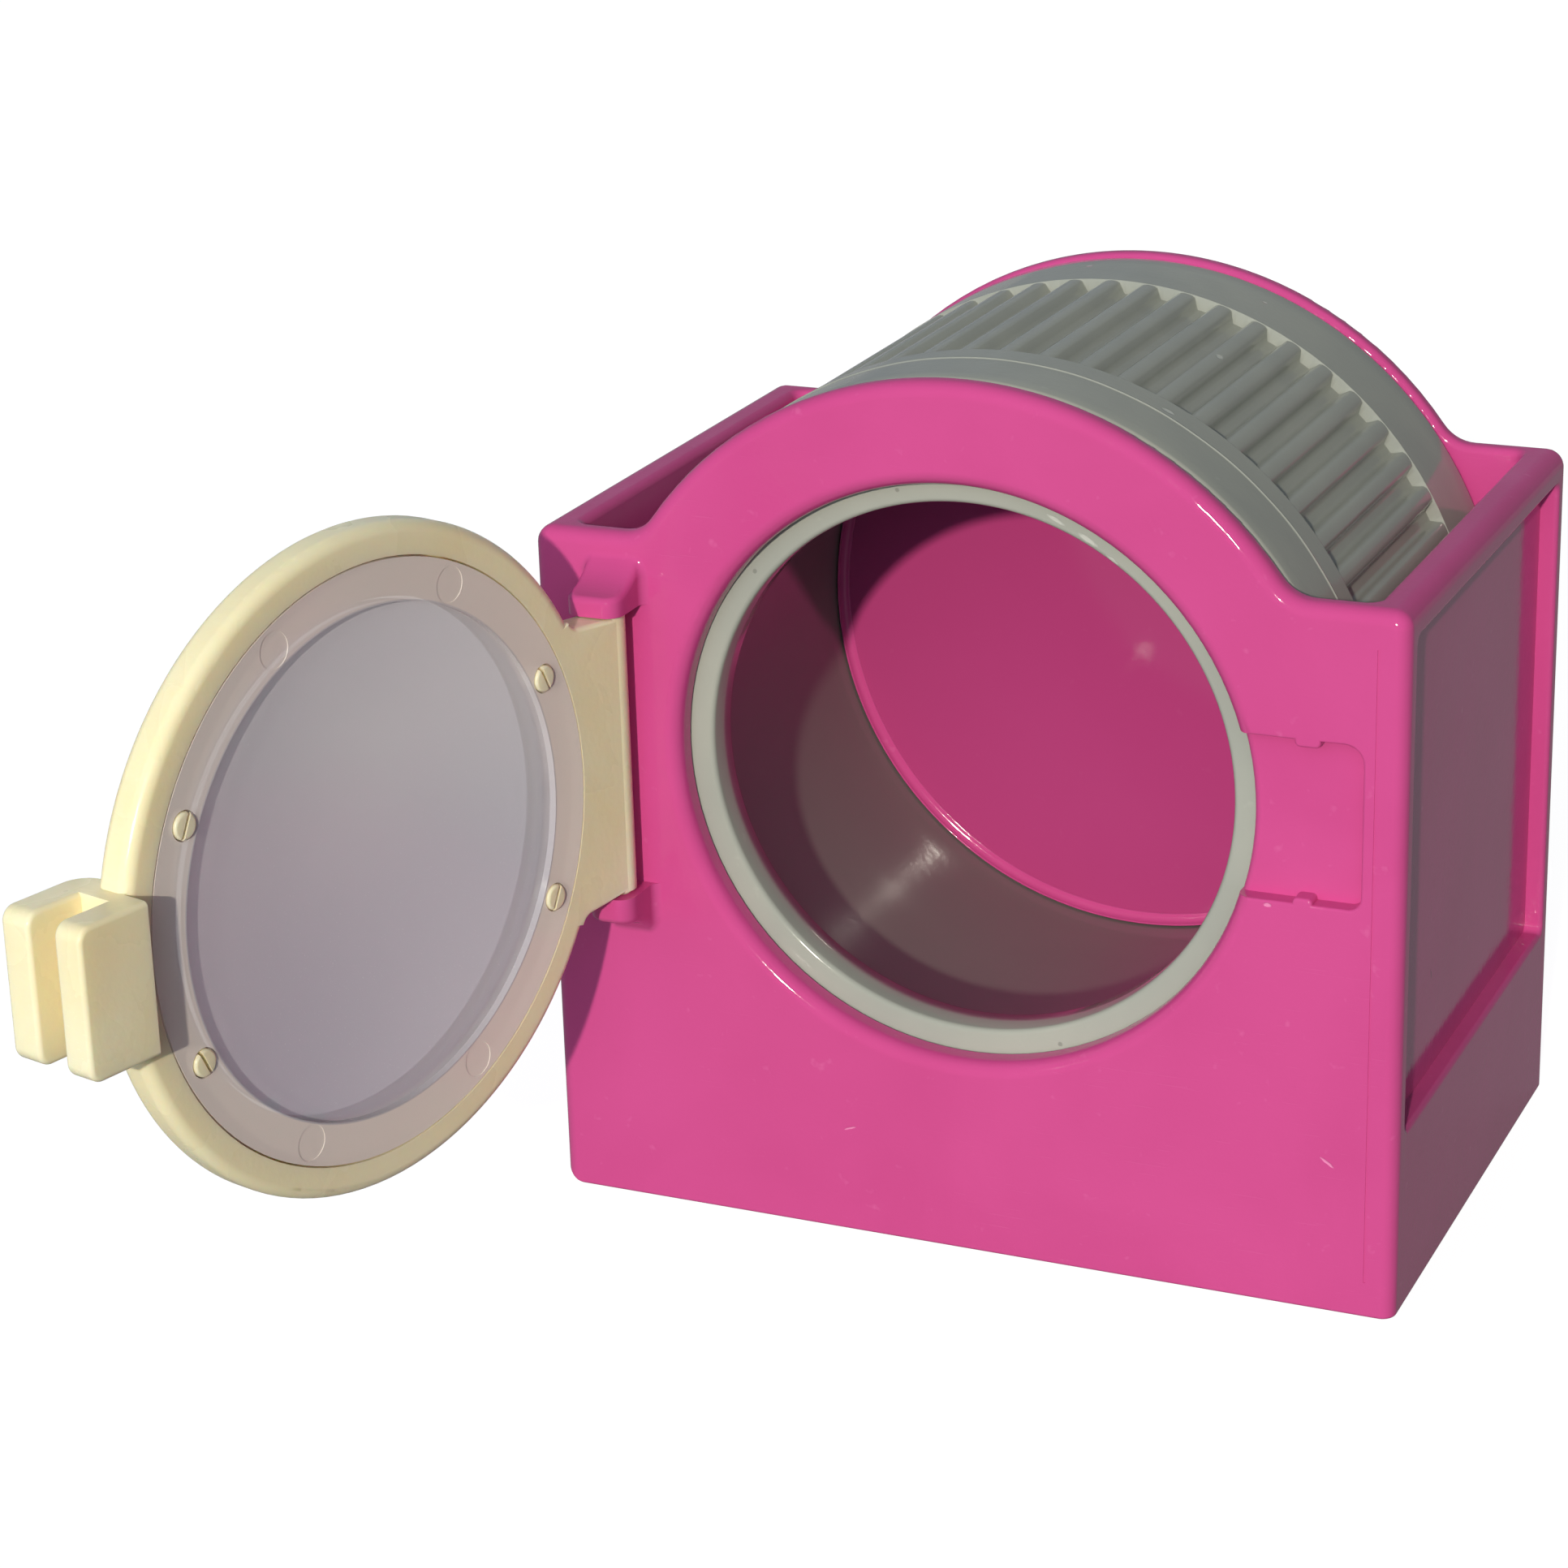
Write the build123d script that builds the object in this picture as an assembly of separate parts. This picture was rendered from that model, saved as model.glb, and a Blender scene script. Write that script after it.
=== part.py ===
from build123d import *
import math
import os

os.makedirs("parts", exist_ok=True)

# Frame: origin at the centre of the footprint on the ground, +Z up, front toward -Y.
# All sizes in millimetres. Every piece is drawn with the door closed; the door is
# then turned open about its hinge to the pose that the part rests in.

# ---------------------------------------------------------------- housing
PITCH = 16.0            # stud pitch of the toy-brick grid
STUDS = (3, 2)          # footprint in studs, x and y
SIDE_PLAY = 0.1         # the footprint keeps this clear of its neighbours all round
BRICK_H = 19.2          # height of one brick
WALL_BRICKS = 2         # the side walls are this many bricks tall
ARCH_INSET = 2.7        # the arch springs this far inside the side walls

WIDTH = STUDS[0] * PITCH - 2 * SIDE_PLAY
DEPTH = STUDS[1] * PITCH - 2 * SIDE_PLAY
SHOULDER_Z = WALL_BRICKS * BRICK_H
ARCH_R = WIDTH / 2 - ARCH_INSET
FRONT_Y = -DEPTH / 2

TOP_CORNER_R = 1.0      # shoulders seen from the front
FOOT_TRIM = 1.5         # drawn this far below the ground and cut off flat
FOOT_EDGE_R = 0.2
EDGE_R = 0.8            # rounding of the front and back edges
WORN_R = 1.45           # the lower left front corner is worn round
WORN_RUN = 4.0          # and sharp again this far behind the front
LINE_X = 22.35          # fine mould line down the front
LINE_W = 0.12
LINE_DEPTH = 0.05
LINE_TOP = 2.0          # it ends this far below the shoulder
ARCH_BLEND = 2.2        # hollow fillet between arch and shoulder

PLATE_T = 1.5           # front and back plates
SIDE_T = 2.1            # side walls at their rim
RIM_R = 0.45            # inner edges of the rim and the plates
BAY_CORNER_R = 0.7
PANEL_SINK = 1.0        # side panels lie this far inside the rim
PANEL_FRAME_Y = 1.6     # frame beside the sunk panel
PANEL_FRAME_TOP = 1.7
PANEL_Z = 10.1          # ledge below the sunk panel
PANEL_CORNER_R = 0.5
PANEL_EDGE_R = 0.3

FLOOR_T = 0.85
STUD_R = 4.7            # stud gripped by the underside
STUD_H = 4.4
STUD_GAP = 0.2          # above a stud
GRIP_W = 1.2            # grip ribs on the inside of the skirt
GRIP_LIFT = 0.4         # they start this far above the ground
GRIP_ROOT = 0.375       # they start inside the skirt
TUBE_WALL = 1.8

LIP_R = 0.85            # rolled edge of the round front opening
OPEN_GAP = 1.28         # the opening is this much larger than the drum's mouth

# ---------------------------------------------------------------- drum
DRUM_SINK = 0.15        # the drum lies this far below the arch
DRUM_PLAY = (0.2, 0.3)  # to the front and back plates
DRUM_UNDER = 0.3        # above the floor
FLANGE_T = (6.05, 5.65)  # plain bands in front and behind
FLANGE_EDGE_R = 0.35
FLUTES = 60
FLUTE_R = 0.75          # round grooves
FLUTE_DEPTH = 0.85
BAND_SINK = 0.1         # ridges between the grooves lie below the bands
DRUM_WALL = 2.05
MOUTH_R = 14.5
MOUTH_T = 2.2           # front wall of the drum
MOUTH_EDGE_R = 0.3
SEAM_AT = 4.2           # fine moulding ridge behind the drum's front
SEAM_H = 0.05
SEAM_W = 0.12
HUB_GAP = 0.05          # running clearance of the drum on its hub
HUB_H = 1.1             # hub disc on the back plate
HUB_EDGE_R = 0.2

# the drum stands just over the floor, which stands just over the studs
SKIRT_Z = STUD_H + STUD_GAP
FLOOR_Z = SKIRT_Z + FLOOR_T
DRUM_R = ARCH_R - DRUM_SINK
AXIS_Z = FLOOR_Z + DRUM_UNDER + DRUM_R
CAVITY_R = DRUM_R - DRUM_WALL
BAND_R = DRUM_R - BAND_SINK
DRUM_Y = (FRONT_Y + PLATE_T + DRUM_PLAY[0], -FRONT_Y - PLATE_T - DRUM_PLAY[1])
OPEN_R = MOUTH_R + OPEN_GAP

# ---------------------------------------------------------------- door frame
DOOR_GAP = 0.7          # closed door to the front plate
OPEN_DEG = 104.0        # the door stands this far open at rest
HINGE_X = -18.9
HINGE_SINK = 0.95       # hinge axis in front of the door's inner face
RING_R = 17.2
RING_T = 2.1
RING_EDGE_R = 0.67
SIGHT_R = 13.3          # hole of the frame
HINGE_HALF = 7.7        # half height of the hinge plate at its barrel
HINGE_FLARE = 0.3       # it is this much taller at the ring
HINGE_EDGE_R = 0.25
HINGE_NECK_R = 0.8      # hollow fillet between hinge plate and ring
HINGE_ROOT = 1.67       # the hinge plate runs this far into the ring
BARREL_R = 1.0
PIN_R = 0.65
PIN_GAP = 0.07          # running clearance of the pins
PIN_LEN = 1.1           # beyond the barrel, and depth of each blind hole
PIN_END_PLAY = 0.2      # barrel to each bracket, and pin to the end of its hole

CLIP_HALF = 3.87        # half height of the catch clip
CLIP_CORNER_R = 0.75
CLIP_EDGE_R = 0.25
CLIP_REACH = 21.0       # tips of its prongs from the middle of the door
CLIP_FOOT = 0.2         # ring left between the window's seat and the clip
CLIP_ROOT = 16.7        # where the inner prong starts on the ring
CLIP_IN = 1.4           # inner prong above the door's inner face
CLIP_OUT = 3.9          # outer prong below it
CLIP_HEEL_R = 1.5
SLOT_W = (-2.05, -0.35)  # slot between the prongs
SLOT_X = 17.65

STAKE = (12.76, 6.05)   # split stakes that hold the window, from its middle
STAKE_R = 0.7
STAKE_STAND = 0.15      # above the window's flange
STAKE_EDGE_R = 0.15
STAKE_CUT = 0.2         # saw cut across each stake
STAKE_ROOT = 0.3        # into the frame

# ---------------------------------------------------------------- window
WIN_R = 15.4
WIN_T = 0.85
WIN_GAP = 0.1           # around the flange in its seat
SEAT_GAP = 0.05         # under the flange
STAKE_GAP = 0.08        # around each stake
DISH_R = 13.2
DISH_SINK = 0.4
DISH_RISE = 0.9         # the clear middle bulges outward by this much
DISH_T = 1.0
DISH_GAP = 0.2          # clear middle inside the frame's hole
OVERLAP = 0.001         # of two cuts that meet face to face
MARKS = (6.15, 12.85)   # ejector marks from the middle
MARK_R = 0.95
MARK_SINK = 0.04

# ---------------------------------------------------------------- catch and brackets
POCKET_GAP = 0.3        # closed clip to the floor of its pocket
POCKET_SIDE = (0.38, 0.63)  # below and above the clip
POCKET_END = 0.7        # beyond its tip
POCKET_CORNER_R = (0.7, 1.0)    # lower and upper corner
POCKET_RIM_R = 0.15     # softened rim of the pocket
FLOOR_LIP_R = 0.45      # pocket floor to the round opening
NUB_BACK = ((2.85, 1.8), (2.85, 1.5))   # two snap nubs behind the clip's tip, below and above
NUB_H = (0.32, 0.38)
NUB_R = 0.28

BRACKET_REACH = 1.4     # in front of the hinge axis
BRACKET_LEFT = (1.8, 1.3)   # to the left of the axis, upper and lower
BRACKET_RIGHT = 1.3
BRACKET_EDGE_R = 0.4        # soft edges of the sloping faces
BRACKET_ROOT_R = 0.5        # hollow fillet where a bracket meets the plate
NOSE_R = 0.9
NOSE_TALL = (1.05, 1.45)    # front face of the upper and lower bracket
GUSSET = (3.0, 3.35)        # height of each bracket at its root
GUSSET_BOW = 0.42           # hollow of the sloping faces
ROOT = 0.4                  # brackets start inside the plate

HINGE_Y = FRONT_Y - DOOR_GAP - HINGE_SINK
DOOR_Y = FRONT_Y - DOOR_GAP
POCKET_SINK = CLIP_IN - DOOR_GAP + POCKET_GAP


# ---------------------------------------------------------------- helpers
def slab(sketch, y0, y1):
    """Extrude a sketch drawn in x, z from y0 to y1."""
    plane = Plane(origin=(0, y1, 0), x_dir=(1, 0, 0), z_dir=(0, -1, 0))
    return extrude(plane * sketch, amount=y1 - y0)


def block(x, y, z):
    """Box between pairs of limits."""
    size = (x[1] - x[0], y[1] - y[0], z[1] - z[0])
    mid = ((x[0] + x[1]) / 2, (y[0] + y[1]) / 2, (z[0] + z[1]) / 2)
    return Pos(*mid) * Box(*size)


def along_y(radius, y0, y1, x=0.0, z=AXIS_Z):
    return Pos(x, (y0 + y1) / 2, z) * Rot(90, 0, 0) * Cylinder(radius, y1 - y0)


def upright(radius, z0, z1, x, y):
    return Pos(x, y, (z0 + z1) / 2) * Cylinder(radius, z1 - z0)


def flat_edges(shape, axis, at, tol=0.01):
    """Edges that lie in the plane where X, Y or Z equals a value."""
    found = []
    for edge in shape.edges():
        box = edge.bounding_box()
        low, high = getattr(box.min, axis), getattr(box.max, axis)
        if abs(low - at) < tol and abs(high - at) < tol:
            found.append(edge)
    return found


def circles(shape, axis, at, radius):
    """Round edges of one radius in such a plane."""
    round_edges = [e for e in flat_edges(shape, axis, at) if e.geom_type == GeomType.CIRCLE]
    return [e for e in round_edges if abs(e.radius - radius) < 0.02]


# ---------------------------------------------------------------- housing
def quarter(cx, cz, radius, sx, sz, upward):
    """Quarter arc of the outline about a corner's centre, on side sx, sz."""
    k = radius * math.sqrt(0.5)
    side, end = (cx + sx * radius, cz), (cx, cz + sz * radius)
    mid = (cx + sx * k, cz + sz * k)
    return ThreePointArc(side, mid, end) if upward else ThreePointArc(end, mid, side)


def outline():
    """Front view: rectangle with rounded corners under a round arch."""
    hw, top, low = WIDTH / 2, SHOULDER_Z, -FOOT_TRIM
    reach = ARCH_R + ARCH_BLEND
    blend_z = top + ARCH_BLEND
    blend_x = math.sqrt(reach ** 2 - (blend_z - AXIS_Z) ** 2)
    share = ARCH_R / reach
    tx, tz = blend_x * share, AXIS_Z + (blend_z - AXIS_Z) * share
    # middle of the hollow arc, between straight down and the arch's tangent point
    toward = math.atan2(tz - blend_z, tx - blend_x)
    middle = (toward - math.pi / 2) / 2
    if toward > 0:
        middle -= math.pi
    mx, mz = blend_x + ARCH_BLEND * math.cos(middle), blend_z + ARCH_BLEND * math.sin(middle)
    c = TOP_CORNER_R
    return make_face(Wire([
        Line((-hw + c, low), (hw - c, low)),
        quarter(hw - c, low + c, c, 1, -1, False),
        Line((hw, low + c), (hw, top - c)),
        quarter(hw - c, top - c, c, 1, 1, True),
        Line((hw - c, top), (blend_x, top)),
        ThreePointArc((blend_x, top), (mx, mz), (tx, tz)),
        ThreePointArc((tx, tz), (0, AXIS_Z + ARCH_R), (-tx, tz)),
        ThreePointArc((-tx, tz), (-mx, mz), (-blend_x, top)),
        Line((-blend_x, top), (-hw + c, top)),
        quarter(-hw + c, top - c, c, -1, 1, False),
        Line((-hw, top - c), (-hw, low + c)),
        quarter(-hw + c, low + c, c, -1, -1, True),
    ]))


def make_shell():
    """Walls, floor and sunk side panels."""
    hw, hd = WIDTH / 2, DEPTH / 2
    body = slab(outline(), -hd, hd)
    body = fillet(flat_edges(body, "Y", -hd) + flat_edges(body, "Y", hd), EDGE_R)
    body -= block((-WIDTH, WIDTH), (-DEPTH, DEPTH), (-2 * FOOT_TRIM, 0))
    body = fillet(flat_edges(body, "Z", 0), FOOT_EDGE_R)

    for side in (-1, 1):
        x = sorted((side * (hw - PANEL_SINK), side * (hw + PANEL_SINK)))
        y = (-hd + PANEL_FRAME_Y, hd - PANEL_FRAME_Y)
        sunk = block(x, y, (PANEL_Z, SHOULDER_Z - PANEL_FRAME_TOP))
        body -= fillet(sunk.edges().filter_by(Axis.X), PANEL_CORNER_R)
        lip = [e for e in flat_edges(body, "X", side * hw)
               if PANEL_Z - 0.1 < e.center().Z < SHOULDER_Z - PANEL_FRAME_TOP + 0.1
               and abs(e.center().Y) < hd - PANEL_FRAME_Y + 0.1]
        body = fillet(lip, PANEL_EDGE_R)

    bay_x, bay_y = hw - SIDE_T, hd - PLATE_T
    over = AXIS_Z + 2 * ARCH_R
    bay = block((-bay_x, bay_x), (-bay_y, bay_y), (FLOOR_Z, over))
    body -= fillet(bay.edges().filter_by(Axis.Z), BAY_CORNER_R)
    skirt = block((-bay_x, bay_x), (-bay_y, bay_y), (-1, SKIRT_Z))
    body -= fillet(skirt.edges().filter_by(Axis.Z), BAY_CORNER_R)
    rims = [e for e in flat_edges(body, "Z", SHOULDER_Z)
            if abs(abs(e.center().X) - bay_x) < 0.01]
    return fillet(rims, RIM_R)


def add_underside(body):
    """Stud tubes and grip ribs below the floor."""
    bay_x, bay_y = WIDTH / 2 - SIDE_T, DEPTH / 2 - PLATE_T
    roof = SKIRT_Z + FLOOR_T / 2
    tube_r = PITCH * math.sqrt(0.5) - STUD_R
    for i in range(STUDS[0] - 1):
        for j in range(STUDS[1] - 1):
            x, y = (i - (STUDS[0] - 2) / 2) * PITCH, (j - (STUDS[1] - 2) / 2) * PITCH
            tube = upright(tube_r, 0, roof, x, y)
            body += tube - upright(tube_r - TUBE_WALL, -1, SKIRT_Z, x, y)
    reach_x = (STUDS[0] - 1) / 2 * PITCH + STUD_R
    reach_y = (STUDS[1] - 1) / 2 * PITCH + STUD_R
    half = GRIP_W / 2
    for s in (-1, 1):
        for i in range(STUDS[0]):
            x = (i - (STUDS[0] - 1) / 2) * PITCH
            y = sorted((s * reach_y, s * (bay_y + GRIP_ROOT)))
            body += block((x - half, x + half), y, (GRIP_LIFT, roof))
        for j in range(STUDS[1]):
            y = (j - (STUDS[1] - 1) / 2) * PITCH
            x = sorted((s * reach_x, s * (bay_x + GRIP_ROOT)))
            body += block(x, (y - half, y + half), (GRIP_LIFT, roof))
    return body


def cut_opening(body):
    """Round front opening with a rolled edge, shallower where the pocket runs into it."""
    body -= along_y(OPEN_R, FRONT_Y - 1, FRONT_Y + PLATE_T + DRUM_PLAY[0] / 2)
    inside, outside, above = OPEN_R - LIP_R, OPEN_R + LIP_R, FRONT_Y - 1
    roll = Polyline((OPEN_R, FRONT_Y + LIP_R), (inside, FRONT_Y + LIP_R), (inside, above),
                    (outside, above), (outside, FRONT_Y))
    roll += RadiusArc((outside, FRONT_Y), (OPEN_R, FRONT_Y + LIP_R), LIP_R)
    body -= Pos(0, 0, AXIS_Z) * revolve(make_face(roll), Axis.Y)
    return fillet(circles(body, "Y", FRONT_Y + POCKET_SINK, OPEN_R), FLOOR_LIP_R)


def worn_corner():
    """What is worn off the lower left front corner, less and less towards the back."""
    hw, r = WIDTH / 2, WORN_R
    share = r * (1 - math.sqrt(0.5)) / WORN_RUN
    arc = ThreePointArc((-hw + r, 0), (-hw + r - r * math.sqrt(0.5), r - r * math.sqrt(0.5)), (-hw, r))
    rest = Polyline((-hw, r), (-hw - 2 * r, r), (-hw - 2 * r, -2 * r), (-hw + r, -2 * r), (-hw + r, 0))
    plane = Plane(origin=(0, FRONT_Y, 0), x_dir=(1, 0, 0), z_dir=(0, -1, 0))
    shape = plane * make_face(arc + rest)
    return extrude(shape, amount=WORN_RUN, dir=(-share, 1, -share))


def mould_line():
    """Fine line pressed into the front beside the pocket."""
    x = (LINE_X - LINE_W / 2, LINE_X + LINE_W / 2)
    return block(x, (FRONT_Y - 1, FRONT_Y + LINE_DEPTH), (LINE_TOP, SHOULDER_Z - LINE_TOP))


def make_hub():
    """Disc on the back plate that carries the drum."""
    radius = CAVITY_R - HUB_GAP
    face = -FRONT_Y - PLATE_T - HUB_H
    hub = along_y(radius, face, -FRONT_Y - PLATE_T / 2)
    return fillet(circles(hub, "Y", face, radius), HUB_EDGE_R)


def make_pocket():
    """Shallow recess for the clip, with two nubs left standing in its sides."""
    x = (MOUTH_R, CLIP_REACH + POCKET_END)
    z = (AXIS_Z - CLIP_HALF - POCKET_SIDE[0], AXIS_Z + CLIP_HALF + POCKET_SIDE[1])
    pocket = block(x, (FRONT_Y - 1, FRONT_Y + POCKET_SINK), z)
    for edge, radius in zip(z, POCKET_CORNER_R):
        corner = [e for e in pocket.edges().filter_by(Axis.Y)
                  if abs(e.center().X - x[1]) < 0.01 and abs(e.center().Z - edge) < 0.01]
        pocket = fillet(corner, radius)
    for edge, back, height, way in zip(z, NUB_BACK, NUB_H, (1, -1)):
        tip, place = edge + way * height, (CLIP_REACH - back[0], CLIP_REACH - back[1])
        nub = block(place, (FRONT_Y - 1, FRONT_Y + PLATE_T), sorted((edge - way, tip)))
        corners = [e for e in nub.edges().filter_by(Axis.Y) if abs(e.center().Z - tip) < 0.01]
        pocket -= fillet(corners, NUB_R)
    return pocket


def cut_pocket(body):
    """Cut the pocket and soften its rim."""
    body -= make_pocket()
    end, tall = CLIP_REACH + POCKET_END, CLIP_HALF + max(POCKET_SIDE)
    rim = [e for e in flat_edges(body, "Y", FRONT_Y)
           if MOUTH_R + 0.01 < e.center().X < end + 0.01 and abs(e.center().Z - AXIS_Z) < tall + 0.01]
    return fillet(rim, POCKET_RIM_R)


def make_bracket(upper):
    """Hinge bracket with a round nose, a soft sloping gusset and a blind hole for the pin."""
    way = 1 if upper else -1
    left, tall, rise = (BRACKET_LEFT[0], NOSE_TALL[0], GUSSET[0]) if upper else (
        BRACKET_LEFT[1], NOSE_TALL[1], GUSSET[1])
    face = AXIS_Z + way * (HINGE_HALF + PIN_END_PLAY)
    nose, root = HINGE_Y - BRACKET_REACH, FRONT_Y + ROOT
    tip, top = face + way * tall, face + way * rise
    bow = ((nose + root) / 2 + GUSSET_BOW / 2, (tip + top) / 2 - way * GUSSET_BOW)
    side = Polyline((root, top), (root, face), (nose, face), (nose, tip))
    side += ThreePointArc((nose, tip), bow, (root, top))
    x0, x1 = HINGE_X - left, HINGE_X + BRACKET_RIGHT
    plane = Plane(origin=(x0, 0, 0), x_dir=(0, 1, 0), z_dir=(1, 0, 0))
    solid = extrude(plane * make_face(side), amount=x1 - x0)
    corners = [e for e in solid.edges().filter_by(Axis.Z) if abs(e.center().Y - nose) < 0.01]
    solid = fillet(corners, NOSE_R)
    slope = [e for e in solid.edges() if nose - 0.01 < e.center().Y < root - 0.01
             and way * (e.center().Z - tip) > -0.01]
    solid = fillet(slope, BRACKET_EDGE_R)
    hole = sorted((face - way, face + way * PIN_LEN))
    return solid - upright(PIN_R + PIN_GAP, *hole, HINGE_X, HINGE_Y)


def add_bracket(body, upper):
    """Set a bracket on the front plate with a hollow fillet round its gusset's root."""
    body += make_bracket(upper)
    way, left, rise = (1, BRACKET_LEFT[0], GUSSET[0]) if upper else (-1, BRACKET_LEFT[1], GUSSET[1])
    face = HINGE_HALF + PIN_END_PLAY
    root = [e for e in flat_edges(body, "Y", FRONT_Y)
            if HINGE_X - left - 0.01 < e.center().X < HINGE_X + BRACKET_RIGHT + 0.01
            and face + 0.01 < way * (e.center().Z - AXIS_Z) < face + rise]
    return fillet(root, BRACKET_ROOT_R)


def make_housing():
    body = cut_opening(cut_pocket(add_underside(make_shell())))
    body = body - mould_line() - worn_corner() + make_hub()
    return add_bracket(add_bracket(body, True), False)


# ---------------------------------------------------------------- drum
def make_drum():
    """Drawn about z with its front down, then laid along y."""
    y0, y1 = DRUM_Y
    b0, b1 = y0 + FLANGE_T[0], y1 - FLANGE_T[1]
    front = Pos(0, 0, (y0 + b0) / 2) * Cylinder(DRUM_R, b0 - y0)
    back = Pos(0, 0, (b1 + y1) / 2) * Cylinder(DRUM_R, y1 - b1)
    front = fillet(circles(front, "Z", y0, DRUM_R), FLANGE_EDGE_R)
    back = fillet(circles(back, "Z", y1, DRUM_R), FLANGE_EDGE_R)
    # grooves between the ridges; a ridge lies level with the axis on each side
    centre = BAND_R - FLUTE_DEPTH + FLUTE_R
    step = 360 / FLUTES
    grooves = [Rot(0, 0, (i + 0.5) * step) * Pos(centre, 0) * Circle(FLUTE_R)
               for i in range(FLUTES)]
    band = extrude(Pos(0, 0, b0) * (Circle(BAND_R) - grooves), amount=b1 - b0)
    drum = front + band + back
    drum += Pos(0, 0, y0 + SEAM_AT) * Cylinder(DRUM_R + SEAM_H, SEAM_W)
    wall = y0 + MOUTH_T
    drum -= Pos(0, 0, wall) * Cylinder(MOUTH_R, 3 * MOUTH_T)
    drum -= Pos(0, 0, wall + (y1 - wall + 1) / 2) * Cylinder(CAVITY_R, y1 - wall + 1)
    drum = fillet(circles(drum, "Z", y0, MOUTH_R), MOUTH_EDGE_R)
    return Pos(0, 0, AXIS_Z) * Rot(-90, 0, 0) * drum


# ---------------------------------------------------------------- door
def open_door(shape):
    """Turn a part drawn in the closed place to its resting open place."""
    return Pos(HINGE_X, HINGE_Y, 0) * Rot(0, 0, -OPEN_DEG) * Pos(-HINGE_X, -HINGE_Y, 0) * shape


def stakes():
    """Places of the four stakes, with the angle of each from the middle."""
    for sx in (-1, 1):
        for sz in (-1, 1):
            x, z = sx * STAKE[0], sz * STAKE[1]
            yield x, AXIS_Z + z, math.degrees(math.atan2(z, x))


def neck(corner, along_plate, along_ring):
    """Start, middle and end of the hollow arc in a corner between two directions."""
    half = along_plate.get_angle(along_ring) / 2
    reach = HINGE_NECK_R / math.tan(math.radians(half))
    centre = corner + (along_plate + along_ring).normalized() * math.hypot(reach, HINGE_NECK_R)
    middle = centre + (corner - centre).normalized() * HINGE_NECK_R
    return corner + along_plate * reach, middle, corner + along_ring * reach


def make_hinge_plate():
    back, tall = DOOR_Y, HINGE_HALF + HINGE_FLARE
    inner = -math.sqrt(RING_R ** 2 - tall ** 2)
    root = inner + HINGE_ROOT
    outer_end = Vector(HINGE_X, HINGE_HALF)
    corner = Vector(inner, tall)
    start, middle, end = neck(corner, (outer_end - corner).normalized(), Vector(tall, -inner).normalized())
    upper = Line(outer_end, start) + ThreePointArc(start, middle, end) + Line(end, (root, tall))
    upper = Pos(0, AXIS_Z) * upper
    lower = Pos(0, 2 * AXIS_Z) * mirror(upper, Plane.XZ)
    ends = Line(upper @ 0, lower @ 0) + Line(upper @ 1, lower @ 1)
    plate = slab(make_face(upper + lower + ends), HINGE_Y - BARREL_R, back)
    long_edges = [e for e in flat_edges(plate, "Y", back) + flat_edges(plate, "Y", HINGE_Y - BARREL_R)
                  if e.center().X < inner and e.length > HINGE_EDGE_R * 4
                  and e.center().X > HINGE_X + 0.01]
    plate = fillet(long_edges, HINGE_EDGE_R)
    barrel = upright(BARREL_R, AXIS_Z - HINGE_HALF, AXIS_Z + HINGE_HALF, HINGE_X, HINGE_Y)
    tip = HINGE_HALF + PIN_LEN
    pins = upright(PIN_R, AXIS_Z - tip, AXIS_Z + tip, HINGE_X, HINGE_Y)
    return plate + barrel + pins


def make_clip():
    """Two prongs with a slot between them that is open at the tip."""
    start = WIN_R + WIN_GAP + CLIP_FOOT
    clip = block((start, CLIP_REACH), (DOOR_Y - CLIP_OUT, DOOR_Y + CLIP_IN),
                 (AXIS_Z - CLIP_HALF, AXIS_Z + CLIP_HALF))
    ends = [e for e in clip.edges().filter_by(Axis.Y) if abs(e.center().X - CLIP_REACH) < 0.01]
    clip = fillet(ends, CLIP_CORNER_R)
    clip -= block((SLOT_X, CLIP_REACH + 1), (DOOR_Y + SLOT_W[0], DOOR_Y + SLOT_W[1]), (0, 2 * AXIS_Z))
    clip -= block((0, CLIP_ROOT), (DOOR_Y - STAKE_ROOT / 2, DOOR_Y + CLIP_IN + 1), (0, 2 * AXIS_Z))
    heel = [e for e in clip.edges().filter_by(Axis.Z)
            if abs(e.center().X - start) < 0.01 and e.center().Y < DOOR_Y - CLIP_OUT + 0.1]
    clip = fillet(heel, CLIP_HEEL_R)
    tips = [e for e in clip.edges() if abs(e.bounding_box().min.X - CLIP_REACH) < CLIP_CORNER_R + 0.01
            and e.bounding_box().size.Y < 0.01]
    return fillet(tips, CLIP_EDGE_R)


def make_stake(x, z, turn):
    floor = DOOR_Y - WIN_T - SEAT_GAP
    top = DOOR_Y + STAKE_STAND
    stake = along_y(STAKE_R, floor - STAKE_ROOT, top, x, z)
    stake = fillet(circles(stake, "Y", top, STAKE_R), STAKE_EDGE_R)
    cut = Box(STAKE_CUT, WIN_T + STAKE_STAND, 4 * STAKE_R)
    return stake - Pos(x, top, z) * Rot(0, -turn, 0) * cut


def make_door_frame():
    ring = along_y(RING_R, DOOR_Y - RING_T, DOOR_Y)
    frame = fillet(ring.edges().filter_by(GeomType.CIRCLE), RING_EDGE_R)
    frame += make_hinge_plate() + make_clip()
    frame -= along_y(WIN_R + WIN_GAP, DOOR_Y - WIN_T - SEAT_GAP, DOOR_Y + 0.01)
    frame -= along_y(SIGHT_R, DOOR_Y - RING_T - 1, DOOR_Y)
    for place in stakes():
        frame += make_stake(*place)
    return open_door(frame)


def dish(floor, radius, depth):
    """Solid between a flat disc at floor and a shallow ball bulging outward by depth."""
    ball = (DISH_R ** 2 + depth ** 2) / (2 * depth)
    bulge = Pos(0, floor + ball - depth, AXIS_Z) * Sphere(ball)
    return bulge & along_y(radius, floor - 2 * depth, floor)


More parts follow.
